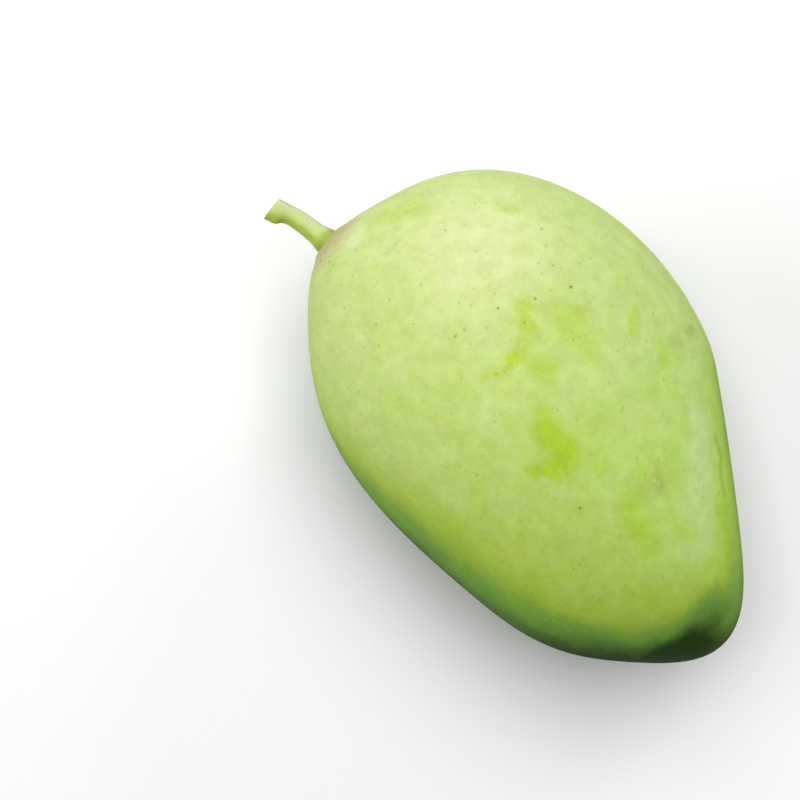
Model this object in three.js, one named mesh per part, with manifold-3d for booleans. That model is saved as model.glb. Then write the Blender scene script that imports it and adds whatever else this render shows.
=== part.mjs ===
// A whole unripe mango, picked with a short length of its stalk and laid on one cheek.
// Units are millimetres. The origin is the middle of the small flat spot that the fruit lies on.
// +X runs from the stalk end to the tip, +Y towards the high back edge, and +Z is up.

import * as THREE from 'three'
import { mergeVertices } from 'three/addons/utils/BufferGeometryUtils.js'
import Module from 'manifold-3d'

const wasm = await Module()
wasm.setup()

// ---------------------------------------------------------------------------
// Driving dimensions
// ---------------------------------------------------------------------------

// The plain form is an ellipsoid: X along the fruit, Y across its breadth, Z through its cheeks.
const HALF_LENGTH = 54.3
const HALF_BREADTH = 42.5
const HALF_THICKNESS = 34

// Rounded swellings, and hollows where the height is below zero, turn the ellipsoid into the
// fruit. Each draws the edge out from the middle, in a direction given by its turn in degrees
// from the tip towards the back. Height is how far the edge moves there, and reach is the angle
// round the edge over which that fades.
const SWELLINGS = [
  { name: 'straight run from the back to the tip', turn: 47, height: -7.3, reach: 37.5 },
  { name: 'corner where that run begins', turn: 71, height: 0.4, reach: 8.5 },
  { name: 'shoulder beside the stalk', turn: 133, height: 3, reach: 32.5 },
  { name: 'seat of the stalk', turn: 191.5, height: 3.2, reach: 17.5 },
  { name: 'flatter belly', turn: -81, height: -5, reach: 47.5 },
  { name: 'fullness under the tip', turn: -43.5, height: 5.1, reach: 24 },
  { name: 'blunt tip', turn: -7, height: 10.7, reach: 21 },
]
const CLIMB = 0.5 // how fast they fade up the cheeks, as a share of how fast round the edge

// The middle of the lower cheek is pressed flat by this much where the fruit lies.
const PRESSED = 0.6

// The stalk bends and thins away from the fruit, and ends in the knob where it parted from the
// tree. Each station is a place in plan, a height above the fruit's middle plane and a width, from
// the root in the flesh to just past the slanted cut.
const STALK = [
  { at: [-54.4, -5.7, 0], width: 5.3 },
  { at: [-57, -6, 0], width: 4.95 },
  { at: [-59.8, -6.4, 0.1], width: 4.5 },
  { at: [-63.2, -6.9, 0.4], width: 4.35 },
  { at: [-66.2, -7.7, 0.8], width: 4.15 },
  { at: [-69.2, -9.1, 1.2], width: 4.9 },
  { at: [-72.2, -10.8, 1.6], width: 5.1 },
]
const CUT = { at: [-69.9, -9.4, 1.3], turn: 188 }
const CUT_BLOCK = 12 // edge of the block that the cut takes away, more than the stalk is wide

const ROOT_GAP = 0.3 // between the stalk's root and the socket that it sits in

// Faces round and along each piece.
const FRUIT_SIDES = 80
const FRUIT_RINGS = 40
const STALK_SIDES = 18
const STALK_RINGS = 16

const MIDDLE_HEIGHT = HALF_THICKNESS - PRESSED // of the fruit's middle plane above the ground

// ---------------------------------------------------------------------------
// Closed meshes, and the solids that cut them
// ---------------------------------------------------------------------------

// The same shape with each corner kept once, which is what closes a mesh.
function closed(geometry) {
  geometry.deleteAttribute('normal')
  geometry.deleteAttribute('uv')
  return mergeVertices(geometry)
}

function toSolid(geometry) {
  return new wasm.Manifold(
    new wasm.Mesh({
      numProp: 3,
      vertProperties: new Float32Array(geometry.attributes.position.array),
      triVerts: new Uint32Array(geometry.index.array),
    }),
  )
}

function toGeometry(solid) {
  const mesh = solid.getMesh()
  const geometry = new THREE.BufferGeometry()
  geometry.setAttribute('position', new THREE.BufferAttribute(mesh.vertProperties, 3))
  geometry.setIndex(new THREE.BufferAttribute(mesh.triVerts, 1))
  geometry.computeVertexNormals()
  return geometry
}

// Moves every corner of a geometry by a rule that changes the point it is given.
function reshape(geometry, rule) {
  const corners = geometry.attributes.position
  const point = new THREE.Vector3()
  for (let i = 0; i < corners.count; i += 1) {
    point.fromBufferAttribute(corners, i)
    rule(point)
    corners.setXYZ(i, point.x, point.y, point.z)
  }
  return geometry
}

// ---------------------------------------------------------------------------
// The fruit
// ---------------------------------------------------------------------------

// The point of the unit ball's edge at a turn.
function edgePoint(turn) {
  const angle = THREE.MathUtils.degToRad(turn)
  return new THREE.Vector3(Math.cos(angle), Math.sin(angle), 0)
}

// The share by which the plan is drawn out at a point of the unit ball. Each swelling is a smooth
// bell round its own point of the edge, and falls to 1/e at its reach.
function drawnOut(unit) {
  const inwards = 1 - Math.hypot(unit.x, unit.y)
  let share = 0
  for (const { turn, height, reach } of SWELLINGS) {
    const middle = edgePoint(turn)
    const width = middle.distanceTo(edgePoint(turn + reach))
    const apart = (unit.x - middle.x) ** 2 + (unit.y - middle.y) ** 2
    const climbed = (1 - CLIMB ** 2) * inwards ** 2
    const across = Math.hypot(middle.x * HALF_LENGTH, middle.y * HALF_BREADTH)
    share += (height / across) * Math.exp((climbed - apart) / width ** 2)
  }
  return share
}

// A ball with its poles on the cheeks, drawn out to the skin and set down. What reaches below
// the ground is pressed level with it.
function fruitBody() {
  const ball = closed(new THREE.SphereGeometry(1, FRUIT_SIDES, FRUIT_RINGS).rotateX(Math.PI / 2))
  return reshape(ball, (point) => {
    const plan = 1 + drawnOut(point)
    const height = MIDDLE_HEIGHT + HALF_THICKNESS * point.z
    point.set(HALF_LENGTH * plan * point.x, HALF_BREADTH * plan * point.y, Math.max(height, 0))
  })
}

// ---------------------------------------------------------------------------
// The stalk
// ---------------------------------------------------------------------------

function aboveMiddle([x, y, z]) {
  return new THREE.Vector3(x, y, MIDDLE_HEIGHT + z)
}

// A round bar bent along the stations' smooth line, with each ring as wide as the stations say.
// Extra is added all round it and at its root, for the socket that it sits in.
function stalkBar(extra) {
  const line = new THREE.CatmullRomCurve3(STALK.map(({ at }) => aboveMiddle(at)))
  const widths = new THREE.CatmullRomCurve3(STALK.map(({ width }, i) => new THREE.Vector3(i, width, 0)))
  const bar = closed(new THREE.CylinderGeometry(1, 1, 1, STALK_SIDES, STALK_RINGS))
  reshape(bar, (point) => {
    const share = point.y + 0.5
    const centre = line.getPoint(share)
    const forward = line.getTangent(share)
    const side = new THREE.Vector3(0, 0, 1).cross(forward).normalize()
    const below = side.clone().cross(forward)
    const radius = widths.getPoint(share).y / 2 + extra
    const [x, z] = [point.x, point.z]
    point.copy(centre).addScaledVector(side, x * radius).addScaledVector(below, z * radius)
    if (share === 0) point.addScaledVector(forward, -extra)
  })
  return toSolid(bar)
}

// The stalk's far end is cut off on a slant.
function cutBlock() {
  const block = new THREE.BoxGeometry(CUT_BLOCK, CUT_BLOCK, CUT_BLOCK)
  block.rotateZ(THREE.MathUtils.degToRad(CUT.turn))
  const middle = aboveMiddle(CUT.at).addScaledVector(edgePoint(CUT.turn), CUT_BLOCK / 2)
  block.translate(middle.x, middle.y, middle.z)
  return toSolid(closed(block))
}

// ---------------------------------------------------------------------------
// Assembly
// ---------------------------------------------------------------------------

const skin = new THREE.MeshStandardMaterial({ color: '#b9cf76', roughness: 0.48, metalness: 0 })
const stem = new THREE.MeshStandardMaterial({ color: '#a9b97a', roughness: 0.7, metalness: 0 })

const fruit = new THREE.Mesh(toGeometry(toSolid(fruitBody()).subtract(stalkBar(ROOT_GAP))), skin)
fruit.name = 'fruit'

const stalk = new THREE.Mesh(toGeometry(stalkBar(0).subtract(cutBlock())), stem)
stalk.name = 'stalk'

const mango = new THREE.Group()
mango.add(fruit, stalk)

export default mango
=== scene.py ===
# %% [markdown]
# # A green mango, laid on one cheek
#
# A mango is one body of flesh under one skin, with a short stalk let into it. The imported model
# holds both at their true size and place. This script dresses them: a fine skin is worked out over
# the fruit, a fine bark over the stalk, and each gets a finish of its own. Everything is in metres
# in the model's own frame: +X from the stalk end to the tip, +Y towards the high back, +Z up.

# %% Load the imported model
import math

import bpy
import numpy as np
from mathutils import Matrix, Vector


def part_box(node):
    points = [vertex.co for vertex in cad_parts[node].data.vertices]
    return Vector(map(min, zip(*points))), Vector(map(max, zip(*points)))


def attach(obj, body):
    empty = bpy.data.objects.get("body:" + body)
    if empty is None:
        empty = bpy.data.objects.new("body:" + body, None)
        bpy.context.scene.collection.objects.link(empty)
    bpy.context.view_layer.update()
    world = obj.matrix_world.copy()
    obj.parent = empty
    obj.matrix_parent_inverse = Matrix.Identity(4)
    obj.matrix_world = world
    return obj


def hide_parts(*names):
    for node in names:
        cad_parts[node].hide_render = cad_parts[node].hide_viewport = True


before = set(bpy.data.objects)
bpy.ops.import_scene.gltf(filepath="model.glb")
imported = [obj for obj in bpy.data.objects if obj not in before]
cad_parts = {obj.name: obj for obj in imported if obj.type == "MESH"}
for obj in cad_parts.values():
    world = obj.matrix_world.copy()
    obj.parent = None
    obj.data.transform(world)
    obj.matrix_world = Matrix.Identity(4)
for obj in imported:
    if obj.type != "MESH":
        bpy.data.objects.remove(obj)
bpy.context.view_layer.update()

MM = 0.001
FRUIT_BOX = [np.array(corner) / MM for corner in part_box("fruit")]
print("fruit from", FRUIT_BOX[0].round(2), "to", FRUIT_BOX[1].round(2), "mm")

# %% [markdown]
# ## From arrays to meshes
#
# Both pieces are closed skins drawn as rings: the fruit's rings spread from the stalk's seat to the
# tip, and the stalk's follow its line. A mesh could be modelled by hand or grown with modifiers.
# Rings from a formula are used here because each point then comes from a few named sizes. One
# helper joins any stack of rings, so every piece is closed and faces outwards in the same way.

# %% Join rings into a piece
def closed_skin(name, rings):
    """Joins rings of points in mm, as an array of rings by sides by 3, into one closed mesh.

    Neighbours in two rings make four-sided faces, and the first and the last ring are each closed
    by a fan round their own middle. The rings turn clockwise seen from the first to the last.
    """
    count, sides = rings.shape[:2]
    points = np.vstack([rings.reshape(-1, 3), rings[0].mean(0), rings[-1].mean(0)])
    side = np.arange(sides)
    after = np.roll(side, -1)
    start = sides * np.arange(count - 1)[:, None]
    walls = np.stack([start + side, start + sides + side, start + sides + after, start + after], -1)
    near = np.stack([side, after, np.full(sides, count * sides)], -1)
    last = sides * (count - 1)
    far = np.stack([last + after, last + side, np.full(sides, count * sides + 1)], -1)
    faces = walls.reshape(-1, 4).tolist() + near.tolist() + far.tolist()
    mesh = bpy.data.meshes.new(name)
    mesh.from_pydata((points * MM).tolist(), [], faces)
    mesh.polygons.foreach_set("use_smooth", np.ones(len(mesh.polygons), bool))
    mesh.update()
    piece = bpy.data.objects.new(name, mesh)
    bpy.context.scene.collection.objects.link(piece)
    print(name, "has", len(points), "points and", 2 * (len(faces) - sides), "triangles")
    return piece


# %% [markdown]
# Nearly all that is soft here, in a shape or in a finish, comes from two curves: a bell, which
# swells and dies away, and a smooth step, which goes from one level to another without a corner.
# Straight ramps would be simpler, but each leaves a line that light picks out on a smooth skin.

# %% Two soft curves that the shapes are made of
def bell(distance, reach):
    """A smooth bell: 1 at no distance, falling to 1/e at the reach."""
    return np.exp(-((distance / reach) ** 2))


def step(value, low, high):
    """A smooth step from 0 at low to 1 at high."""
    share = np.clip((value - low) / (high - low), 0, 1)
    return share * share * (3 - 2 * share)


print("a bell at its reach is", bell(1, 1).round(3), "and a step half way is", step(0.5, 0, 1))

# %% [markdown]
# ## The fruit's form
#
# The form is an ellipsoid whose plan is drawn out, or in, by a few broad swellings: the shoulder
# beside the stalk, the blunt tip, the flatter belly. The same rule shapes the solid model, so the
# fine skin lies on it. A subdivided copy of the solid would be quicker, but would keep its facets'
# faint flats, and its poles would sit on the cheeks where the light shows them.

# %% Sizes and swellings of the plan
HALF_LENGTH = 54.3
HALF_BREADTH = 42.5
HALF_THICKNESS = 34.0
MIDDLE_HEIGHT = FRUIT_BOX[1][2] - HALF_THICKNESS

# Each is a turn in degrees from the tip towards the back, a height in mm at the edge, and a reach
# in degrees round the edge.
SWELLINGS = {
    "straight run from the back to the tip": (47, -7.3, 37.5),
    "corner where that run begins": (71, 0.4, 8.5),
    "shoulder beside the stalk": (133, 3, 32.5),
    "seat of the stalk": (191.5, 3.2, 17.5),
    "flatter belly": (-81, -5, 47.5),
    "fullness under the tip": (-43.5, 5.1, 24),
    "blunt tip": (-7, 10.7, 21),
}
CLIMB = 0.5  # how fast they fade up the cheeks, as a share of how fast round the edge
print("the middle plane of the fruit is", MIDDLE_HEIGHT.round(2), "mm above the ground")


# %% The rule of the form
def edge_point(turn):
    """The point of the unit ball's edge at a turn in degrees."""
    angle = math.radians(turn)
    return np.array([math.cos(angle), math.sin(angle), 0])


def drawn_out(unit):
    """The share by which the plan is drawn out at points of the unit ball.

    It is a sum of bells round points of the edge. Each bell is as wide as its reach round the
    edge, and twice as wide up the cheeks.
    """
    inwards = 1 - np.hypot(unit[..., 0], unit[..., 1])
    share = np.zeros(unit.shape[:-1])
    for turn, height, reach in SWELLINGS.values():
        middle = edge_point(turn)
        width = np.linalg.norm(middle - edge_point(turn + reach))
        across = math.hypot(middle[0] * HALF_LENGTH, middle[1] * HALF_BREADTH)
        apart = ((unit[..., :2] - middle[:2]) ** 2).sum(-1)
        share += height / across * np.exp(((1 - CLIMB**2) * inwards**2 - apart) / width**2)
    return share


def form(unit):
    """The skin in mm over points of the unit ball: half sizes times the ball, its plan drawn out."""
    plan = 1 + drawn_out(unit)
    x = HALF_LENGTH * plan * unit[..., 0]
    y = HALF_BREADTH * plan * unit[..., 1]
    return np.stack([x, y, MIDDLE_HEIGHT + HALF_THICKNESS * unit[..., 2]], -1)


print("the edge is at", form(edge_point(0)).round(1), "mm at the tip")

# %% [markdown]
# ## The fruit's skin
#
# On the tree the skin is stretched over flesh that never swells quite evenly, so it has faint
# broad dents. It rises in a low collar round the stalk and turns down into the socket there. The
# grid's poles are put at the stalk, under the collar, and at the tip, so that both cheeks, which
# are seen most, have plain even rows. Rings crowd together towards the stalk for the collar's sake.

# %% Rings from the stalk's seat to the tip
SEAT_TURN = 187.7
RINGS = 220
SIDES = 340
CROWDING = 1.5

seat = edge_point(SEAT_TURN)
along = math.pi * ((np.arange(RINGS) + 0.5) / RINGS) ** CROWDING
around = 2 * math.pi * np.arange(SIDES) / SIDES
across = np.cos(around)[:, None] * edge_point(SEAT_TURN + 90) - np.sin(around)[:, None] * [0, 0, 1]
ball = np.cos(along)[:, None, None] * seat + np.sin(along)[:, None, None] * across
smooth_skin = form(ball)
print("the smooth skin has", RINGS, "rings of", SIDES, "points")


# %% Ways out of the skin
def outward(rings):
    """Unit normals of a grid of rings: the cross product of its slopes along and around."""
    along_slope = np.gradient(rings, axis=0)
    around_slope = np.roll(rings, -1, 1) - np.roll(rings, 1, 1)
    normal = np.cross(along_slope, around_slope)
    normal /= np.linalg.norm(normal, axis=-1, keepdims=True)
    return normal * np.sign((normal * (rings - rings.mean((0, 1)))).sum(-1, keepdims=True))


def direction(turn, rise):
    """The unit direction at a turn from the tip and a rise above the middle plane, in degrees."""
    rise = math.radians(rise)
    return math.cos(rise) * edge_point(turn) + [0, 0, math.sin(rise)]


skin_normal = outward(smooth_skin)
print("half way to the tip, the first side's skin faces", skin_normal[RINGS // 2, 0].round(2))

# %% [markdown]
# Broad dents are drawn at random, each a low bell up or down, and fade where the fruit touches the
# ground. Two marks have places of their own: the shallow hollow above the tip, and the pin-sized
# scar where the flower's remains dried off. Sculpting them would be as good, but bells can be told
# apart by name and moved.

# %% Faint unevenness, and the hollow and the scar at the tip
DENTS = {"count": 70, "depth": 0.16, "reach": (0.14, 0.32), "seed": 7}
CLEAR_OF_GROUND = 4.0  # height in mm at which the dents are at their full depth
TIP_HOLLOW = {"turn": -2, "rise": 27, "depth": 0.5, "reach": 0.11}
SCAR = {"turn": -14, "rise": -6, "depth": 0.5, "reach": 0.022}


def uneven(unit, count, depth, reach, seed):
    """Heights from many bells at random places of the ball, up and down, of random reach."""
    draw = np.random.default_rng(seed)
    middles = draw.normal(size=(count, 3))
    middles /= np.linalg.norm(middles, axis=1, keepdims=True)
    sizes = draw.uniform(-depth, depth, count)
    widths = draw.uniform(*reach, count)
    height = np.zeros(unit.shape[:-1])
    for middle, size, width in zip(middles, sizes, widths):
        height += size * bell(np.linalg.norm(unit - middle, axis=-1), width)
    return height


def pressed_in(unit, spot):
    """A dent in mm, deepest at a spot's turn and rise and fading over its reach."""
    apart = np.linalg.norm(unit - direction(spot["turn"], spot["rise"]), axis=-1)
    return -spot["depth"] * bell(apart, spot["reach"])


height = step(smooth_skin[..., 2], 0, CLEAR_OF_GROUND) * uneven(ball, **DENTS)
height += pressed_in(ball, TIP_HOLLOW) + pressed_in(ball, SCAR)
fine_skin = smooth_skin + height[..., None] * skin_normal
print("the skin swells and sinks by", height.min().round(2), "to", height.max().round(2), "mm")

# %% [markdown]
# Where the stalk is set, the skin rises in a low collar and then turns down into the socket. Both
# are drawn from the distance to the stalk's line: a bell at the collar's radius lifts the skin
# along that line, and a step at the socket's radius sinks it. Cutting with a second mesh would
# leave an edge to mend, while this keeps the rings whole.

# %% The collar round the stalk, and the socket inside it
SOCKET = {"radius": 2.65, "edge": 0.45, "depth": 2.3}
COLLAR = {"radius": 3.8, "width": 1.1, "height": 0.3}
STALK_HEADING = np.array([-0.99, -0.14, 0.02])
SEAT_SIDE = -20.0  # how far behind the seat, in mm, the skin still belongs to the stalk's end

seat_place = form(seat)
heading = STALK_HEADING / np.linalg.norm(STALK_HEADING)
from_seat = fine_skin - seat_place
beyond = (from_seat * heading).sum(-1)
off_axis = np.linalg.norm(from_seat - beyond[..., None] * heading, axis=-1)
rise = COLLAR["height"] * bell(off_axis - COLLAR["radius"], COLLAR["width"])
rise -= SOCKET["depth"] * (1 - step(off_axis, SOCKET["radius"] - SOCKET["edge"], SOCKET["radius"]))
fine_skin += ((beyond > SEAT_SIDE) * rise)[..., None] * heading
fine_skin[..., 2] = np.maximum(fine_skin[..., 2], 0)
socket_floor = round(SOCKET["depth"] + COLLAR["height"], 2)
print("the socket's floor is at most", socket_floor, "mm below the collar")

# %% The fruit takes the solid's place
fruit = closed_skin("fruit_skin", fine_skin)
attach(fruit, "root")
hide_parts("fruit")

# %% [markdown]
# ## The stalk
#
# The stalk is a short woody stem, faintly ridged along its length. It spreads at the foot over the
# socket's edge and ends in the knob where it parted from the tree, cut on a slant. A bevelled curve
# would give the bend but not the slanted end, so the bark is a round section carried along a
# smooth line, and each of its lines is followed up to the cut.

# %% The stalk's line and its width
STALK = np.array([
    (-54.4, -5.7, 0.0),
    (-57.0, -6.0, 0.0),
    (-59.8, -6.4, 0.1),
    (-63.2, -6.9, 0.4),
    (-66.2, -7.7, 0.8),
    (-69.2, -9.1, 1.2),
    (-72.2, -10.8, 1.6),
])
STALK_WIDTH = np.array([5.3, 4.95, 4.5, 4.35, 4.15, 4.9, 5.1])


def through(stations, share):
    """A smooth line through stations, at shares of 0 to 1: the Catmull-Rom cubic between each two."""
    last = len(stations) - 1
    before_first = 2 * stations[0] - stations[1]
    after_last = 2 * stations[-1] - stations[-2]
    ends = np.concatenate([[before_first], stations, [after_last]])
    place = np.clip(share, 0, 1) * last
    first = np.minimum(place.astype(int), last - 1)
    t = place - first
    if stations.ndim > 1:
        t = t[..., None]
    before, here, after, beyond = (ends[first + i] for i in range(4))
    bend = 2 * before - 5 * here + 4 * after - beyond
    twist = 3 * here - before - 3 * after + beyond
    return here + 0.5 * t * (after - before + t * (bend + t * twist))


print("half way along, the stalk is", through(STALK_WIDTH, np.array(0.5)).round(2), "mm wide")

# %% The bark's section, carried along the line
FOOT = {"place": 0.155, "reach": 0.12, "spread": 0.42}
KNOB = {"place": 0.79, "before": 0.045, "beyond": 0.1, "bulge": 0.55, "side": 5, "around": 0.5}
RIDGES = ((5, 0.022, 0.4), (8, 0.014, 1.9))  # how many, how high, and where they start
RIDGE_WIND = 2.0  # radians by which the ridges wind over the whole line
SLOPE_REACH = 0.01  # the share of the line, to both sides, over which its slope is taken


def bark(share, turn):
    """Points of the bark in mm, at shares of the line's length and turns round it in radians.

    The section is a circle across the line. Its radius is half the width there, spread at the
    foot, swollen on one side at the knob, and rippled by low ridges that wind slowly.
    """
    middle = through(STALK, share) + [0, 0, MIDDLE_HEIGHT]
    ahead = through(STALK, share + SLOPE_REACH) - through(STALK, share - SLOPE_REACH)
    ahead /= np.linalg.norm(ahead, axis=-1, keepdims=True)
    sideways = np.cross([0, 0, 1], ahead)
    sideways /= np.linalg.norm(sideways, axis=-1, keepdims=True)
    upwards = np.cross(ahead, sideways)
    radius = through(STALK_WIDTH, share) / 2
    for count, depth, start in RIDGES:
        radius = radius * (1 + depth * np.cos(count * turn + start + RIDGE_WIND * share))
    radius = radius + FOOT["spread"] * bell(share - FOOT["place"], FOOT["reach"])
    facing = bell(np.sin((turn - math.radians(KNOB["side"])) / 2), KNOB["around"])
    reach = np.where(share < KNOB["place"], KNOB["before"], KNOB["beyond"])
    radius = radius + KNOB["bulge"] * facing * bell(share - KNOB["place"], reach)
    out = np.cos(turn)[..., None] * sideways + np.sin(turn)[..., None] * upwards
    return middle + radius[..., None] * out


# %% [markdown]
# The knob was cut on a slant, so the lines of the bark aren't all equally long. Each is followed in
# many small trials until it passes the plane of the cut, and how far along that was is kept. The
# rings are then spread evenly up to there. A longer bar could be cut with a plane, but its new
# edge would have no rings to carry the numbers that the finish reads.

# %% Each line of the bark, followed up to the slanted cut
STALK_RINGS = 120
STALK_SIDES = 72
CUT_PLACE = np.array([-69.9, -9.4, 1.3])
CUT_TURN = 188
TRIALS = 600

cut_facing = edge_point(CUT_TURN)
cut_middle = CUT_PLACE + [0, 0, MIDDLE_HEIGHT]
turns = 2 * math.pi * np.arange(STALK_SIDES) / STALK_SIDES
trials = np.linspace(0, 1, TRIALS)
trial_share, trial_turn = np.meshgrid(trials, turns, indexing="ij")
past_cut = ((bark(trial_share, trial_turn) - cut_middle) * cut_facing).sum(-1)
cut_share = trials[np.argmax(past_cut > 0, axis=0)]
bark_share = np.linspace(0, 1, STALK_RINGS)[:, None] * cut_share
bark_rings = bark(bark_share, np.broadcast_to(turns, bark_share.shape))
print("the cut is met at", cut_share.min().round(3), "to", cut_share.max().round(3), "of the line")

# %% The cut face, slightly dished, and the finished stalk
CUT_RINGS = 12
CUT_REACH = 0.97  # how far its rings go in, as a share of the way to the middle
CUT_DISH = 0.35
DISH_SIDE = (0.05, 0.6)  # shares of the way in between which it sinks

inwards = np.linspace(0, 1, CUT_RINGS + 1)[1:, None, None] * CUT_REACH
end_middle = bark_rings[-1].mean(0)
end_rings = bark_rings[-1] + inwards * (end_middle - bark_rings[-1])
end_rings = end_rings - CUT_DISH * step(inwards, *DISH_SIDE) * cut_facing

stalk = closed_skin("stalk_bark", np.concatenate([bark_rings, end_rings]))
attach(stalk, "root")
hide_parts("stalk")

# %% [markdown]
# ## Writing a finish
#
# A finish is a node tree. Laid out by hand it is hard to read, so a small class lets the maths be
# written as expressions: a wire stands for a socket's output, and adding or multiplying wires adds
# the nodes that do so. Colours and places go through Vector Math and Mix, because a Math node
# would turn them grey.

# %% Wires
class Wire:
    """A node's output. Arithmetic on wires adds the Math or Vector Math nodes that work it out."""

    def __init__(self, finish, socket):
        self.finish = finish
        self.socket = socket
        self.wide = socket.type != "VALUE"

    def beside(self, name):
        """Another output of the same node."""
        return Wire(self.finish, self.socket.node.outputs[name])

    def maths(self, operation, *terms):
        """One Math node, or one Vector Math node where a term is a colour or a place."""
        many = any(isinstance(term, tuple) or getattr(term, "wide", False) for term in terms)
        if many:
            terms = [(term,) * 3 if isinstance(term, (int, float)) else term for term in terms]
        kind = "ShaderNodeVectorMath" if many else "ShaderNodeMath"
        return self.finish.node(kind, {"operation": operation}, dict(enumerate(terms)))

    def __add__(self, other):
        return self.maths("ADD", self, other)

    def __sub__(self, other):
        return self.maths("SUBTRACT", self, other)

    def __rsub__(self, other):
        return self.maths("SUBTRACT", other, self)

    def __mul__(self, other):
        if self.wide and not isinstance(other, tuple) and not getattr(other, "wide", False):
            terms = {0: self, "Scale": other}
            return self.finish.node("ShaderNodeVectorMath", {"operation": "SCALE"}, terms)
        return self.maths("MULTIPLY", self, other)

    __radd__ = __add__
    __rmul__ = __mul__


# %% Finishes
class Finish:
    """One material, whose nodes are written as expressions on wires."""

    def __init__(self, name, fixed):
        self.material = bpy.data.materials.new(name)
        self.material.use_nodes = True
        self.tree = self.material.node_tree
        self.shader = self.tree.nodes["Principled BSDF"]
        for socket, value in fixed.items():
            self.shader.inputs[socket].default_value = value
        # Where a point lies on the piece, in mm.
        self.place = self.node("ShaderNodeTexCoord", output="Object") * (1 / MM)

    def node(self, kind, settings=None, inputs=None, output=0):
        """Adds a node of a type, sets its settings, then gives its sockets their values or links."""
        node = self.tree.nodes.new(kind)
        for name, value in (settings or {}).items():
            setattr(node, name, value)
        for name, value in (inputs or {}).items():
            self.feed(node.inputs[name], value)
        return Wire(self, node.outputs[output])

    def feed(self, socket, value):
        """Links a wire to a socket, or sets the socket's own value."""
        if isinstance(value, Wire):
            self.tree.links.new(value.socket, socket)
        else:
            socket.default_value = value

    def kept(self, name):
        """A number that is kept on the points of the mesh."""
        return self.node("ShaderNodeAttribute", {"attribute_name": name}, output="Fac")

    def ease(self, value, low, high, to_low=0.0, to_high=1.0):
        """A smooth step of a value, from to_low at low to to_high at high."""
        span = {"From Min": low, "From Max": high, "To Min": to_low, "To Max": to_high}
        settings = {"interpolation_type": "SMOOTHSTEP"}
        return self.node("ShaderNodeMapRange", settings, {"Value": value, **span})

    def blend(self, first, second, share):
        """A colour from the first at share 0 to the second at share 1."""
        settings = {"data_type": "RGBA", "clamp_factor": True}
        return self.node("ShaderNodeMix", settings, {0: share, 6: first, 7: second}, 2)

    def cloud(self, size, detail, roughness, stretch=(1.0, 1.0, 1.0), output="Fac"):
        """Soft noise from 0 to 1, with features of about a size in mm."""
        inputs = {"Vector": self.place * stretch, "Scale": 1 / size}
        inputs.update({"Detail": detail, "Roughness": roughness})
        return self.node("ShaderNodeTexNoise", {}, inputs, output)

    def sway(self, size, detail, roughness, spread):
        """Soft noise about zero, from half a spread below it to half a spread above."""
        return (self.cloud(size, detail, roughness) - 0.5) * spread

    def stirred(self, size, detail, roughness, spread):
        """The place in mm, moved about by soft noise, so that what is drawn there gets torn edges."""
        return self.place + (self.cloud(size, detail, roughness, output="Color") - 0.5) * spread

    def apart(self, place, point):
        """The distance in mm from a place to a point."""
        point = point if isinstance(point, Wire) else tuple(point)
        return self.node("ShaderNodeVectorMath", {"operation": "DISTANCE"}, {0: place, 1: point}, "Value")

    def along(self, place, heading):
        """How far a place lies along a heading: their dot product."""
        settings = {"operation": "DOT_PRODUCT"}
        return self.node("ShaderNodeVectorMath", settings, {0: place, 1: tuple(heading)}, "Value")

    def wear(self, piece):
        """Puts the finish on a piece."""
        piece.data.materials.clear()
        piece.data.materials.append(self.material)
        print(piece.name, "wears", self.material.name, "of", len(self.tree.nodes), "nodes")


# %% Colours and kept numbers
def shade(red, green, blue):
    """A colour from the usual 0 to 255 screen numbers, made linear as sockets need it."""
    screen = np.array([red, green, blue]) / 255
    linear = np.where(screen <= 0.04045, screen / 12.92, ((screen + 0.055) / 1.055) ** 2.4)
    return (*linear.tolist(), 1.0)


def keep_on_points(piece, name, values):
    """Keeps a number for each point of a piece's rings, and their means for its two end points."""
    ends = [values[0].mean(), values[-1].mean()]
    kept = piece.data.attributes.new(name, "FLOAT", "POINT")
    kept.data.foreach_set("value", np.concatenate([values.ravel(), ends]).astype(np.float32))
    print(piece.name, "keeps", name, "from", values.min().round(2), "to", values.max().round(2))


# %% [markdown]
# ## The skin's finish
#
# A green mango's skin is yellow-green, and covered by a thin powdery bloom that makes it look pale
# and soft. Handling rubs the bloom off in patches, which show the bare skin, greener, more saturated
# and a little glossier. Its lower edge and tip are painted darker green, partly the deeper green of
# the side that hung in the shade and partly painted shade, and the shoulder carries a painted
# highlight. The finish is laid down from the inside out: bare skin, its painted shade, the bloom in
# a varying thickness with its rubbed strokes and painted highlights, then pores, the crease, the
# scuff and bruises, the russet ring where the stalk is set, and dark specks. Painting it by hand
# would also work, but noise and a few placed marks stay sharp at any distance, and the noise goes
# all the way round.

# %% Colours of the skin
BARE_GREEN = shade(158, 187, 44)
BARE_YELLOW = shade(164, 186, 50)
BARE_COOL = shade(164, 203, 60)
BARE_OLIVE = shade(170, 182, 48)
# Painted shade: these two greens stand partly for the fruit's deeper green and partly for shade.
SHADE_GREEN = shade(112, 156, 62)
DEEP_SHADE_GREEN = shade(36, 66, 18)
BLOOM = shade(212, 221, 190)
# Painted highlight: the warm pale of the lit shoulder.
WARM_HIGHLIGHT = shade(224, 222, 196)
PORE = shade(98, 134, 44)
CREASE_GREEN = shade(136, 172, 38)
SCUFF_BROWN = shade(150, 150, 62)
RUSSET = shade(182, 172, 130)
RUSSET_DARK = shade(164, 157, 105)
SPECK = shade(76, 92, 30)
print("bare skin in linear light is", np.round(BARE_GREEN[:3], 3))
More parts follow.
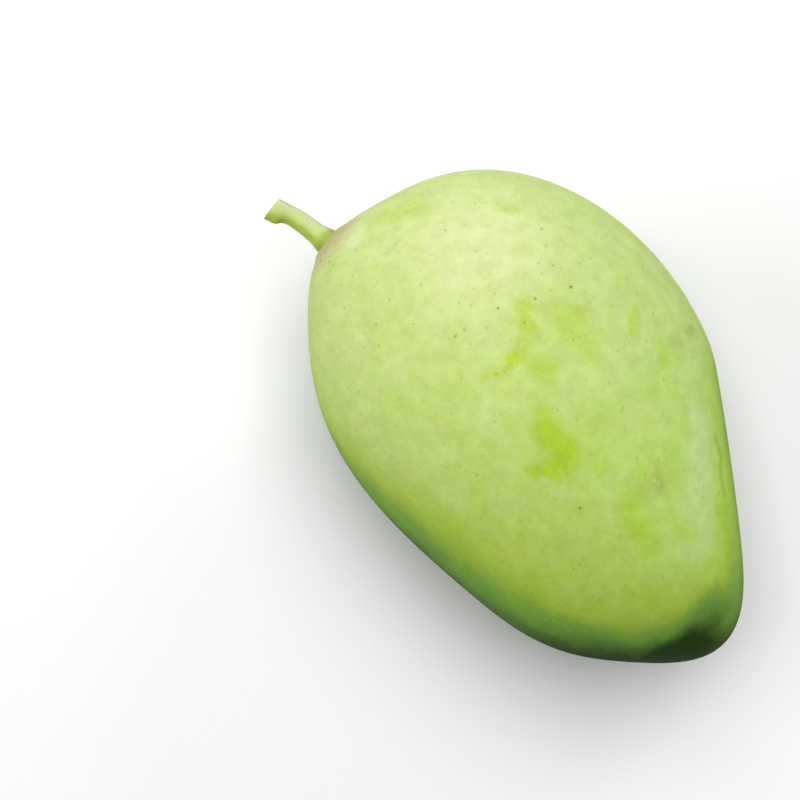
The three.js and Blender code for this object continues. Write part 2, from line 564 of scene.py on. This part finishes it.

# %% [markdown]
# Painted shade darkens the lower edge and the tip: it stands partly for the deeper green of the side
# that hung in the shade and partly for shade where the skin turns from the light. Its level is found
# from where the skin faces, once for each point of the mesh, and kept there as a number. It could be
# worked out in the shader from the normal, but kept numbers are plain to read and the same in every
# renderer. Towards its deepest the number levels off, and under the fruit it falls back, so that the
# dark green stays a soft band.

# %% Painted shade, from where the skin faces
SHADE_HEADING = np.array([1.08, -0.52, -1.0])
SHADE_TOP = 0.68
UNDERSIDE = (-0.1, 0.85)  # how much the skin faces down where the underside begins, and is full
UNDERSIDE_SHADE = 0.24

painted_shade = (skin_normal * SHADE_HEADING).sum(-1)
levelled = SHADE_TOP * (1 - np.exp(-np.maximum(painted_shade, 0) / SHADE_TOP))
painted_shade = np.where(painted_shade > 0, levelled, painted_shade)
underneath = step(-skin_normal[..., 2], *UNDERSIDE)
painted_shade -= underneath * np.maximum(painted_shade - UNDERSIDE_SHADE, 0)
keep_on_points(fruit, "painted_shade", painted_shade)

# %% [markdown]
# Marks on the skin are placed in plan, in mm, and laid on the upper cheek. Two kinds are enough: a
# field is round, full near its middle and gone at its outer distance, and a stroke runs from one
# place to another. Broad fields read the plain place. Strokes and small marks read one that noise
# has stirred, so their edges are torn like those of real rubbing, not ruled.

# %% Fields and strokes on the skin
UPPER_CHEEK = MIDDLE_HEIGHT * 0.9  # the height above which skin counts as the upper cheek's
STROKE_EDGE = (1.8, 0.2)  # where a stroke ends and where it is full, in half widths


def on_skin(x, y):
    """The point of the upper cheek over a place in plan, in mm."""
    points = fine_skin.reshape(-1, 3)
    upper = points[points[:, 2] > UPPER_CHEEK]
    return upper[np.argmin(np.hypot(upper[:, 0] - x, upper[:, 1] - y))]


def field(finish, place, middle, outer, inner):
    """1 within an inner distance in mm of a place on the skin, easing to 0 at the outer one."""
    return finish.ease(finish.apart(place, on_skin(*middle)), outer, inner)


def stroke(finish, place, start, end, half_width, strength=None):
    """A stroke's strength along the line between two places on the skin, easing to 0 beside it."""
    start, end = Vector(on_skin(*start)), Vector(on_skin(*end))
    run = end - start
    from_start = place - tuple(start)
    share = finish.along(from_start, run) * (1 / run.length_squared)
    share = finish.node("ShaderNodeClamp", {}, {"Value": share})
    nearest = finish.node("ShaderNodeVectorMath", {"operation": "SCALE"}, {0: tuple(run), "Scale": share})
    outer, inner = (half_width * edge for edge in STROKE_EDGE)
    full = finish.ease(finish.apart(from_start, nearest), outer, inner)
    return full if strength is None else full * strength


print("the skin over the origin is at", on_skin(0, 0).round(1), "mm")

# %% [markdown]
# The bare skin is yellower by the stalk, cooler along the back, and here and there a little olive.
# Over that goes the painted shade, partly the fruit's own deeper green and partly shade: first a turn
# to middle green, then the deep green of the lower edge and the tip. A painted shadow lies across
# the tip, painted light reaches further down beside it, and a greener band, from which the bloom has
# gone too, runs down the back edge to the tip and takes a little painted shade as well.

# %% Bare skin
TORN = (2.4, 4, 0.65, 4.4)  # a noise: its size in mm, detail, roughness, and spread in mm
FRAYED = (0.5, 2, 0.6, 0.5)
# Each field is a middle in plan, and the distances in mm at which it ends and at which it is full.
YELLOW_CHEEK = ((-40.0, 8.0), 55, 5)
COOL_BACK = ((30.0, 17.0), 40, 4)
OLIVE_CLOUD = (9.0, 3, 0.6)
OLIVE_RANGE = (0.48, 0.7)
OLIVE_SHARE = 0.25

skin = Finish("green_mango_skin", {"Specular IOR Level": 0.07})
at = skin.place
torn = skin.stirred(*TORN)
frayed = skin.stirred(*FRAYED)
yellow = field(skin, at, *YELLOW_CHEEK)
cool = field(skin, at, *COOL_BACK)
olive = skin.ease(skin.cloud(*OLIVE_CLOUD), *OLIVE_RANGE)
bare = skin.blend(BARE_GREEN, BARE_YELLOW, yellow)
bare = skin.blend(bare, BARE_COOL, cool)
bare = skin.blend(bare, BARE_OLIVE, olive * OLIVE_SHARE)
print("the bare skin takes", len(skin.tree.nodes), "nodes")

# %% Its painted shade, with a painted shadow and painted light at the tip
SHADE_MOTTLE = (7.0, 4, 0.6, 0.24)
# Each stroke is a start, an end, a half width in mm and, where it isn't full, a strength.
# Painted shadow across the tip, and painted light on the lower edge beside it.
TIP_SHADOW = ((53.6, -3.6), (56.2, -13.2), 5.2, 0.32)
LIT_EDGE = ((31.5, -22.3), (44.0, -16.6), 5.2, 0.17)
BACK_BAND = ((41.2, 13.4), (56.0, 2.1), 3.0)
# Painted shade added along the back band, on top of its rubbed bloom.
BAND_SHADE = 0.1
TURNING = (-0.32, 0.17)  # the shade at which middle green begins, and at which it is full
DEEPENING = (0.08, 0.5)

back_band = stroke(skin, torn, *BACK_BAND)
painted_shade_level = skin.kept("painted_shade") + skin.sway(*SHADE_MOTTLE)
painted_shade_level = painted_shade_level + stroke(skin, torn, *TIP_SHADOW) - stroke(skin, torn, *LIT_EDGE)
painted_shade_level = painted_shade_level + back_band * BAND_SHADE
# Painted shade: middle green, then deep green, darken the lower edge and the tip.
turning_to_shade = skin.ease(painted_shade_level, *TURNING)
deep_shade = skin.ease(painted_shade_level, *DEEPENING)
bare = skin.blend(bare, SHADE_GREEN, turning_to_shade)
bare = skin.blend(bare, DEEP_SHADE_GREEN, deep_shade)
print("with its shade it takes", len(skin.tree.nodes), "nodes")

# %% [markdown]
# The bloom comes off wherever a hand or a leaf has brushed by. Each rubbed stroke lets the bare
# skin show in the strength it is given, and noise leaves specks of bloom inside it. The strokes
# could be one painted mask, but a list of places keeps each of them open to change.

# %% Rubbed strokes
# Each is a start, an end, a half width in mm and a strength.
RUBBED = {
    "long stroke": ((-19.0, 12.6), (-14.6, 9.6), 1.4, 0.66),
    "its faint end": ((-14.6, 9.6), (-11.8, 6.1), 1.6, 0.34),
    "spot below it": ((-11.9, 3.9), (-12.0, 2.8), 1.3, 1.0),
    "thin tail": ((-11.7, 0.4), (-12.9, -3.6), 0.9, 0.55),
    "arch, near side": ((-14.6, 14.4), (-9.0, 19.5), 1.8, 0.3),
    "arch, far side": ((-9.0, 19.0), (-2.5, 15.0), 1.9, 0.32),
    "under the arch": ((-10.2, 15.3), (-6.0, 14.6), 2.0, 0.36),
    "round patch": ((-7.2, 5.9), (-5.6, 7.3), 2.3, 0.6),
    "strip towards the back": ((-1.7, 27.9), (0.6, 25.2), 1.3, 0.55),
    "spot beyond it": ((8.6, 26.5), (9.8, 25.3), 1.8, 0.42),
    "spot on the shoulder": ((-34.9, 24.0), (-33.2, 25.6), 1.3, 0.5),
    "main patch, top": ((0.1, 0.3), (3.2, -2.2), 1.9, 0.6),
    "main patch, middle": ((3.2, -2.2), (8.6, -2.6), 2.7, 1.0),
    "main patch, corner": ((8.6, -2.3), (10.3, -5.0), 2.4, 0.95),
    "main patch, foot": ((7.2, -9.4), (9.4, -6.8), 1.6, 0.95),
    "spot beside it": ((15.2, 1.0), (16.4, -0.2), 1.4, 0.5),
    "near the scuff": ((22.5, 5.5), (24.4, 2.1), 2.2, 0.45),
    "towards the tip, wide": ((26.5, -0.5), (29.0, -2.6), 2.6, 0.75),
    "towards the tip, end": ((32.6, -1.8), (35.0, -3.4), 2.0, 0.6),
    "beside the tip's hollow": ((37.3, 3.6), (38.9, 4.8), 2.0, 0.5),
    "end of the crease": ((38.4, 16.3), (40.4, 14.9), 1.5, 1.0),
    "faint, by the back": ((21.0, 20.4), (22.8, 18.8), 1.6, 0.2),
    "greener edge of the shoulder": ((-51.2, 6.8), (-48.0, 11.0), 2.6, 0.4),
    "belly, near the middle": ((2.5, -20.5), (5.5, -23.0), 2.4, 0.18),
    "belly, lower": ((3.0, -27.5), (6.5, -29.5), 2.2, 0.4),
}
BAND_RUBBED = 0.9
PATCHINESS = (1.6, 3, 0.7, 0.8)

bloom_left = 1 - back_band * BAND_RUBBED
for rubbed in RUBBED.values():
    bloom_left = (1 - stroke(skin, torn, *rubbed)) * bloom_left
bloom_left = 1 - (1 - bloom_left) * (1 + skin.sway(*PATCHINESS))
print(len(RUBBED) + 1, "strokes are rubbed, and", len(skin.tree.nodes), "nodes used so far")

# %% [markdown]
# Where it is left, the bloom thickens towards the shoulder and the back, is thin where shade is
# painted, and is mottled everywhere. Its share of the colour is a slow slope along the fruit, with a
# few fields added, and the mottle. Two of the fields are painted highlights laid in as extra bloom: a
# broad one on the shoulder, pale and warm, and a small one by the stalk. A fine and a broad grain
# then darken and lighten the whole skin a little.

# %% Bloom
BLOOM_SLOPE = 0.0029  # the share gained for each mm along the heading
BLOOM_HEADING = (-0.85, 0.53, 0.0)
BLOOM_MIDDLE = 0.25
# Painted highlights, laid in as extra bloom: a broad one on the shoulder and a small one by the stalk.
SHOULDER_HIGHLIGHT = ((-33.0, 13.0), 24, 0)
SPOT_HIGHLIGHT = ((-52.4, -1.7), 4.6, 0.5)
NEAR_STALK = ((-46.0, 4.0), 26, 5)
PALE_STRIP = ((24.6, 21.7), (41.5, 4.5), 4.0, 0.18)
MORE_BLOOM_AND_HIGHLIGHT = {"shoulder": 0.16, "spot": 0.22, "back": 0.03, "stalk": -0.03}
BLOOM_MOTTLE = (7.0, 4, 0.6, 0.34)
BLOOM_GRAIN = (1.3, 3, 0.6, 0.06)
FADE_IN_SHADE = (0.1, -0.6)  # the shade at which no bloom is left, and at which all of it is

painted_highlight = field(skin, at, *SHOULDER_HIGHLIGHT)
by_stalk = field(skin, at, *NEAR_STALK)
thick = skin.along(at, BLOOM_HEADING) * BLOOM_SLOPE + BLOOM_MIDDLE
thick = thick + painted_highlight * MORE_BLOOM_AND_HIGHLIGHT["shoulder"] + field(skin, at, *SPOT_HIGHLIGHT) * MORE_BLOOM_AND_HIGHLIGHT["spot"]
thick = thick + cool * MORE_BLOOM_AND_HIGHLIGHT["back"] + by_stalk * MORE_BLOOM_AND_HIGHLIGHT["stalk"]
thick = thick + stroke(skin, torn, *PALE_STRIP)
thick = thick + skin.sway(*BLOOM_MOTTLE) + skin.sway(*BLOOM_GRAIN)
thick = thick * bloom_left * skin.ease(painted_shade_level, *FADE_IN_SHADE)
# The painted highlight on the shoulder also warms the bloom's pale.
skin_colour = skin.blend(bare, skin.blend(BLOOM, WARM_HIGHLIGHT, painted_highlight), thick)
print("the bloom is in, with", len(skin.tree.nodes), "nodes used so far")

# %% Grain
FINE_GRAIN = (0.6, 3, 0.6, 0.05)
BROAD_GRAIN = (3.4, 5, 0.66, 0.4)
STALK_DARKER = 0.025

grain = 1 + skin.sway(*FINE_GRAIN) + skin.sway(*BROAD_GRAIN)
skin_colour = skin_colour * (grain - by_stalk * STALK_DARKER)
print("the grain is", FINE_GRAIN[0], "and", BROAD_GRAIN[0], "mm wide")

# %% [markdown]
# Pores are small darker dots over the whole skin, with finer pinpricks between them and a few pale
# flecks. A Voronoi pattern gives one dot to each of its cells and a chance colour with it, which
# serves as the dot's strength. Real dots as geometry would be far too many.

# %% Pores, pinpricks and flecks, whose shifts keep the three patterns apart
PORES = {"spacing": 1.8, "radius": 0.34, "shift": 0.0}
PINPRICKS = {"spacing": 0.95, "radius": 0.2, "shift": 31.0}
FLECKS = {"spacing": 1.3, "radius": 0.36, "shift": 57.0}
DOT_SHARES = {"pores": 0.32, "pinpricks": 0.12, "flecks": 0.1}
DOT_EDGE = (1.5, 0.4)  # where a dot ends and where it is full, in radii


def dots(finish, place, spacing, radius, shift):
    """Dots of up to a radius in mm, one in each cell of a spacing, from none to 1 in strength."""
    cells = {"Vector": place + (shift,) * 3, "Scale": 1 / spacing}
    off = finish.node("ShaderNodeTexVoronoi", {}, cells, "Distance")
    strength = finish.node("ShaderNodeSeparateColor", {}, {"Color": off.beside("Color")}, "Red")
    outer, inner = (radius * edge for edge in DOT_EDGE)
    return finish.ease(off * spacing, outer, inner) * strength * strength


pores = dots(skin, frayed, **PORES)
pinpricks = dots(skin, frayed, **PINPRICKS)
flecks = dots(skin, frayed, **FLECKS) * (1 - deep_shade)
dark_dots = pores * DOT_SHARES["pores"] + pinpricks * DOT_SHARES["pinpricks"]
skin_colour = skin.blend(skin_colour, BLOOM, flecks * DOT_SHARES["flecks"])
skin_colour = skin.blend(skin_colour, PORE, dark_dots)
print("the dots take the finish to", len(skin.tree.nodes), "nodes")

# %% [markdown]
# A thin crease follows the back edge near the tip, drawn as a chain of strokes of which the
# strongest counts, so that its joints don't show. Nearer the middle is a scuff with two painted
# glints, small pale highlights on its raised skin, and round about a few faint bruises share its
# brown.

# %% The crease, the scuff and the bruises
CREASE = ((28.9, 22.5), (32.5, 21.1), (36.0, 17.9), (38.8, 15.9))
CREASE_HALF_WIDTH = 0.75
SCUFF = ((23.2, 8.4), (26.2, 6.4), 1.5)
# Painted highlights: two small glints on the scuff.
SCUFF_GLINTS = ((25.6, 6.4), (26.7, 6.8))
GLINT_EDGE = (0.6, 0.15)
MARK_SHARES = {"crease": 0.5, "scuff": 0.26, "glints": 0.27}
BRUISES = (
    ((8.4, 29.4), (9.2, 30.6), 1.3, 0.3),
    ((10.2, 33.6), (10.9, 34.8), 1.3, 0.45),
    ((26.2, 8.3), (27.7, 7.5), 2.0, 0.25),
    ((24.6, 3.8), (27.6, 3.4), 1.8, 0.22),
)

crease = 0.0
for start, end in zip(CREASE, CREASE[1:]):
    part = stroke(skin, frayed, start, end, CREASE_HALF_WIDTH)
    crease = skin.node("ShaderNodeMath", {"operation": "MAXIMUM"}, {0: part, 1: crease})
skin_colour = skin.blend(skin_colour, CREASE_GREEN, crease * MARK_SHARES["crease"])
scuff = stroke(skin, torn, *SCUFF)
worn = scuff * MARK_SHARES["scuff"]
for bruise in BRUISES:
    worn = stroke(skin, torn, *bruise) + worn
skin_colour = skin.blend(skin_colour, SCUFF_BROWN, worn)
# Painted highlights: the glints are laid on in the bloom's pale.
for glint in SCUFF_GLINTS:
    pale = field(skin, frayed, glint, *GLINT_EDGE) * MARK_SHARES["glints"]
    skin_colour = skin.blend(skin_colour, BLOOM, pale)
print("the crease has", len(CREASE) - 1, "parts, and the bruises are", len(BRUISES))

# %% [markdown]
# Round the stalk the skin has turned to thin cork, beige and a little rough, which fades out in an
# uneven ring. It is drawn as a squashed ball round a point just above the seat, with noise added
# to the distance, and reads the torn place as well, so that no part of its edge is round.

# %% The russet ring round the stalk
RUSSET_MIDDLE = seat_place + [0.0, 1.0, 3.0]
RUSSET_SQUASH = np.array([0.8, 1.0, 0.9])
RUSSET_SWAY = (2.4, 5, 0.7, 8.0)
RUSSET_EDGE = (9.8, 6.0)  # the distances at which the ring ends, and at which it is full
DARKER_EDGE = (6.5, 3.0)
RUSSET_SHARE = 0.85
DARKER_SHARE = 0.8
CORK_GRAIN = (0.7, 3, 0.6, 0.5)

from_foot = skin.apart(torn * tuple(RUSSET_SQUASH), RUSSET_MIDDLE * RUSSET_SQUASH)
from_foot = from_foot + skin.sway(*RUSSET_SWAY)
russet = skin.ease(from_foot, *RUSSET_EDGE)
cork = skin.blend(RUSSET, RUSSET_DARK, skin.ease(from_foot, *DARKER_EDGE) * DARKER_SHARE)
cork = cork * (1 + skin.sway(*CORK_GRAIN))
skin_colour = skin.blend(skin_colour, cork, russet * RUSSET_SHARE)
print("the russet ends about", RUSSET_EDGE[0], "mm from", RUSSET_MIDDLE.round(1))

# %% [markdown]
# Last come the dark specks, which sit on skin and russet alike. Each has a place and a strength of
# its own, and the golden ratio deals out their sizes, which looks like chance but never changes.

# %% Dark specks
# Each is a place in plan and a strength.
SPECKS = (
    (-21.4, 7.9, 0.75), (-14.0, 21.6, 0.65), (-16.9, 14.9, 0.65), (-23.2, -1.9, 0.5),
    (18.5, -8.1, 0.55), (-20.0, 22.5, 0.48), (-26.6, 26.6, 0.48), (-15.1, 10.1, 0.4),
    (-0.3, -18.1, 0.35), (-23.1, 0.6, 0.35), (-47.2, -10.6, 0.36), (-27.1, 3.6, 0.32),
    (-51.4, -8.6, 0.3), (-50.2, -3.3, 0.28), (4.0, 25.1, 0.28), (-40.2, 12.2, 0.3),
    (-6.3, 14.8, 0.25), (-15.1, 29.2, 0.25), (-22.2, 20.7, 0.26), (-12.4, -1.0, 0.24),
    (-6.2, 36.2, 0.28), (-35.5, 0.4, 0.25), (27.8, -15.6, 0.24), (-19.7, 19.5, 0.24),
    (-46.9, -7.8, 0.22), (-52.5, -9.0, 0.4), (-53.3, -8.0, 0.45), (-54.3, -10.0, 0.6),
)
SPECK_RADIUS = 0.3
SPECK_SIZES = (0.85, 0.3)  # the smallest, and by how much the largest is more, in radii
SPECK_EDGE = (1.7, 0.3)
GOLDEN = 0.618

specks = 0.0
for number, (x, y, strength) in enumerate(SPECKS):
    radius = SPECK_RADIUS * (SPECK_SIZES[0] + SPECK_SIZES[1] * (number * GOLDEN % 1))
    outer, inner = (radius * edge for edge in SPECK_EDGE)
    specks = field(skin, frayed, (x, y), outer, inner) * strength + specks
skin_colour = skin.blend(skin_colour, SPECK, specks)
print(len(SPECKS), "specks")

# %% [markdown]
# The relief is slight: the skin's own grain, with pores, specks and crease sunk by a few hundredths
# of a millimetre, and the scuff and the cork raised. At that size bump does it, and more geometry
# would gain nothing. Bare skin is glossier than bloom, so the roughness follows what is left of
# the bloom.

# %% Relief in mm, and gloss
SKIN_RELIEF = (0.9, 3, 0.55)
CORK_RELIEF = (0.6, 3, 0.6)
RAISED = {"skin": 0.012, "scuff": 0.03, "cork": 0.06}
SUNK = {"pores": 0.03, "specks": 0.04, "crease": 0.03}
BLOOM_LEFT_RANGE = (0.3, 1.0)
ROUGHNESS_RANGE = (0.5, 0.75)

relief = skin.cloud(*SKIN_RELIEF) * RAISED["skin"] + scuff * RAISED["scuff"]
relief = relief + russet * skin.cloud(*CORK_RELIEF) * RAISED["cork"]
relief = relief - pores * SUNK["pores"] - specks * SUNK["specks"] - crease * SUNK["crease"]
roughness = skin.ease(bloom_left, *BLOOM_LEFT_RANGE, *ROUGHNESS_RANGE)
bump = skin.node("ShaderNodeBump", {}, {"Height": relief, "Distance": MM, "Strength": 1.0})
skin.feed(skin.shader.inputs["Normal"], bump)
skin.feed(skin.shader.inputs["Base Color"], skin_colour)
skin.feed(skin.shader.inputs["Roughness"], roughness)
skin.wear(fruit)

# %% [markdown]
# ## The stalk's finish
#
# The stalk is still green. Its side towards the fruit's back is pale and ashen, partly a dull grey
# bloom and partly a painted highlight where the light falls on that side; its side towards the belly
# is a fresher olive, faint lines run along it, and the cut face has dried to straw with a dark spot
# where sap ran out. The colours follow the bark, so they read numbers kept on its points. The faint
# lines are only noise in space, drawn out along X, which does because the stalk is so nearly
# straight.

# %% Places on the bark, kept on the mesh
cut_rings_shape = (CUT_RINGS, STALK_SIDES)
towards_back = np.broadcast_to(-np.cos(turns), (STALK_RINGS + CUT_RINGS, STALK_SIDES))
keep_on_points(stalk, "towards_back", towards_back)
keep_on_points(stalk, "along", np.concatenate([bark_share, np.ones(cut_rings_shape)]))
keep_on_points(stalk, "cut", np.concatenate([np.zeros_like(bark_share), np.ones(cut_rings_shape)]))

# %% Colours of the bark, from the belly's side to the back's
BARK_OLIVE = shade(164, 190, 58)
BARK_GREEN = shade(164, 186, 84)
# Pale and ash: a painted highlight on the back side, together with its dull grey bloom.
BARK_PALE = shade(184, 200, 128)
BARK_ASH = shade(188, 200, 152)
BARK_GREY = shade(150, 150, 118)
BARK_FOOT = shade(136, 154, 48)
STRAW = shade(176, 178, 112)
SAP_BROWN = shade(70, 62, 44)

# Where each sets in and where it is full, between -1 on the belly's side and 1 on the back's.
SIDE_RANGES = {
    "green": (-0.95, -0.45),
    "pale": (-0.5, 0.15),
    "ash": (0.2, 0.8),
    "grey": (0.75, 1.0),
}
# The same along the stalk, as shares of its whole line from the root.
STRETCH_RANGES = {"pale": (0.24, 0.36), "foot": (0.31, 0.18)}
GREY_SHARE = 0.6
FOOT_SHARE = 0.85
LINES = (0.7, 3, 0.6)
LINES_DRAWN_OUT = (0.22, 1.0, 1.0)  # the noise is stretched along X, as the stalk lies
LINES_SPREAD = 0.35
BARK_GRAIN = (0.5, 3, 0.6, 0.16)

stem = Finish("green_stalk_bark", {"Roughness": 0.55, "Specular IOR Level": 0.25})
lengthwise = stem.cloud(*LINES, stretch=LINES_DRAWN_OUT)
backwards = stem.kept("towards_back") + (lengthwise - 0.5) * LINES_SPREAD
along_bark = stem.kept("along")
pale = stem.ease(backwards, *SIDE_RANGES["pale"]) * stem.ease(along_bark, *STRETCH_RANGES["pale"])
foot = stem.ease(along_bark, *STRETCH_RANGES["foot"]) * FOOT_SHARE
grey = stem.ease(backwards, *SIDE_RANGES["grey"]) * GREY_SHARE
bark_colour = stem.blend(BARK_OLIVE, BARK_GREEN, stem.ease(backwards, *SIDE_RANGES["green"]))
bark_colour = stem.blend(bark_colour, BARK_PALE, pale)
bark_colour = stem.blend(bark_colour, BARK_ASH, stem.ease(backwards, *SIDE_RANGES["ash"]))
bark_colour = stem.blend(bark_colour, BARK_FOOT, foot)
bark_colour = stem.blend(bark_colour, BARK_GREY, grey)
bark_colour = bark_colour * (1 + stem.sway(*BARK_GRAIN))
print("the bark's colours take", len(stem.tree.nodes), "nodes")

# %% Sap, scab and the cut face, then the bark's relief
SAP_PLACE = bark_rings[-1, round(KNOB["side"] / 360 * STALK_SIDES)]
SAP_EDGE = (0.9, 0.3)
SAP_SHARE = 0.8
SCAB_ALONG = 0.165  # share of the line
SCAB_TURN = math.radians(160)
SCAB_EDGE = (0.7, 0.2)
SCAB_SHARE = 0.5
CUT_SHARE = 0.8
FINE_BARK = (0.4, 3, 0.6)
LINES_HEIGHT = 0.12
FINE_HEIGHT = 0.03

scab_place = bark(np.array(SCAB_ALONG), SCAB_TURN)
sap = stem.ease(stem.apart(stem.place, SAP_PLACE), *SAP_EDGE) * SAP_SHARE
scab = stem.ease(stem.apart(stem.place, scab_place), *SCAB_EDGE) * SCAB_SHARE
bark_colour = stem.blend(bark_colour, SAP_BROWN, sap + scab)
bark_colour = stem.blend(bark_colour, STRAW, stem.kept("cut") * CUT_SHARE)
bark_relief = lengthwise * LINES_HEIGHT + stem.cloud(*FINE_BARK) * FINE_HEIGHT
bark_bump = stem.node("ShaderNodeBump", {}, {"Height": bark_relief, "Distance": MM})
stem.feed(stem.shader.inputs["Base Color"], bark_colour)
stem.feed(stem.shader.inputs["Normal"], bark_bump)
stem.wear(stalk)

# %% [markdown]
# ## Floor, light and camera
#
# The fruit is shown as if on a sheet of pale paper in a bright room: a large soft light from nearly
# overhead, a weaker card on the left that opens the shaded side, and a small window beyond that
# lights the far edge. One sun would be simpler, but a waxy skin under hard light shows a sharp
# glint that the bloom never gives. The floor is one large square, far wider than the view.

# %% Floor
FLOOR_HALF = 2.5
PAPER = (0.84, 0.84, 0.84, 1)

floor_mesh = bpy.data.meshes.new("floor")
corners = [(x * FLOOR_HALF, y * FLOOR_HALF, 0) for x, y in ((-1, -1), (1, -1), (1, 1), (-1, 1))]
floor_mesh.from_pydata(corners, [], [(0, 1, 2, 3)])
floor = bpy.data.objects.new("floor", floor_mesh)
bpy.context.scene.collection.objects.link(floor)
paper = Finish("pale_floor", {"Roughness": 0.9, "Base Color": PAPER})
paper.wear(floor)

# %% [markdown]
# The camera looks straight down from half a metre, through a long lens so that the near cheek
# isn't swollen, and is turned so that the stalk points to the upper left. A wider lens from closer
# by would show the same fruit with its sides falling away.

# %% Camera
CAMERA_PLACE = Vector((-21.8, -18.5, 507.2)) * MM
CAMERA_TURN = math.radians(45.6)
LENS = 100
FILM_WIDTH = 36

camera_data = bpy.data.cameras.new("camera")
camera_data.lens = LENS
camera_data.sensor_width = FILM_WIDTH
camera = bpy.data.objects.new("camera", camera_data)
camera.location = CAMERA_PLACE
camera.rotation_euler = (0, 0, CAMERA_TURN)
bpy.context.scene.collection.objects.link(camera)
bpy.context.scene.camera = camera
print("the camera is", round(CAMERA_PLACE.z - FRUIT_BOX[1][2] * MM, 3), "m above the fruit")

# %% [markdown]
# The lights are placed by the camera's own right, up and back, which is how they would be moved
# about on a real set. The room itself adds a faint even light.

# %% Lights: direction, size in m, power in W
SOFTBOXES = {
    "overhead": ((0.0, 0.34, 0.94), 1.0, 15.8),
    "left_card": ((-0.88, 0.1, 0.4), 0.6, 5.8),
    "far_window": ((0.45, 0.82, 0.35), 0.35, 2.8),
}
LIGHT_DISTANCE = 1.2
ROOM_LIGHT = 0.15


def softbox(name, direction_seen, size, power):
    """A square area light that faces the fruit, from a direction in the camera's own axes."""
    turned = Matrix.Rotation(CAMERA_TURN, 3, "Z")
    heading = (turned @ Vector(direction_seen)).normalized()
    light = bpy.data.lights.new(name, "AREA")
    light.size = size
    light.energy = power
    lamp = bpy.data.objects.new(name, light)
    lamp.location = heading * LIGHT_DISTANCE + Vector((0, 0, MIDDLE_HEIGHT * MM))
    lamp.rotation_euler = heading.to_track_quat("Z", "Y").to_euler()
    lamp.visible_camera = False
    bpy.context.scene.collection.objects.link(lamp)
    print(name, "shines from", np.round(lamp.location, 2), "m")


for name, box in SOFTBOXES.items():
    softbox(name, *box)

world = bpy.data.worlds.new("pale_room")
world.use_nodes = True
background = world.node_tree.nodes["Background"]
background.inputs["Color"].default_value = (1, 1, 1, 1)
background.inputs["Strength"].default_value = ROOM_LIGHT
bpy.context.scene.world = world
bpy.context.scene.view_settings.view_transform = "Standard"
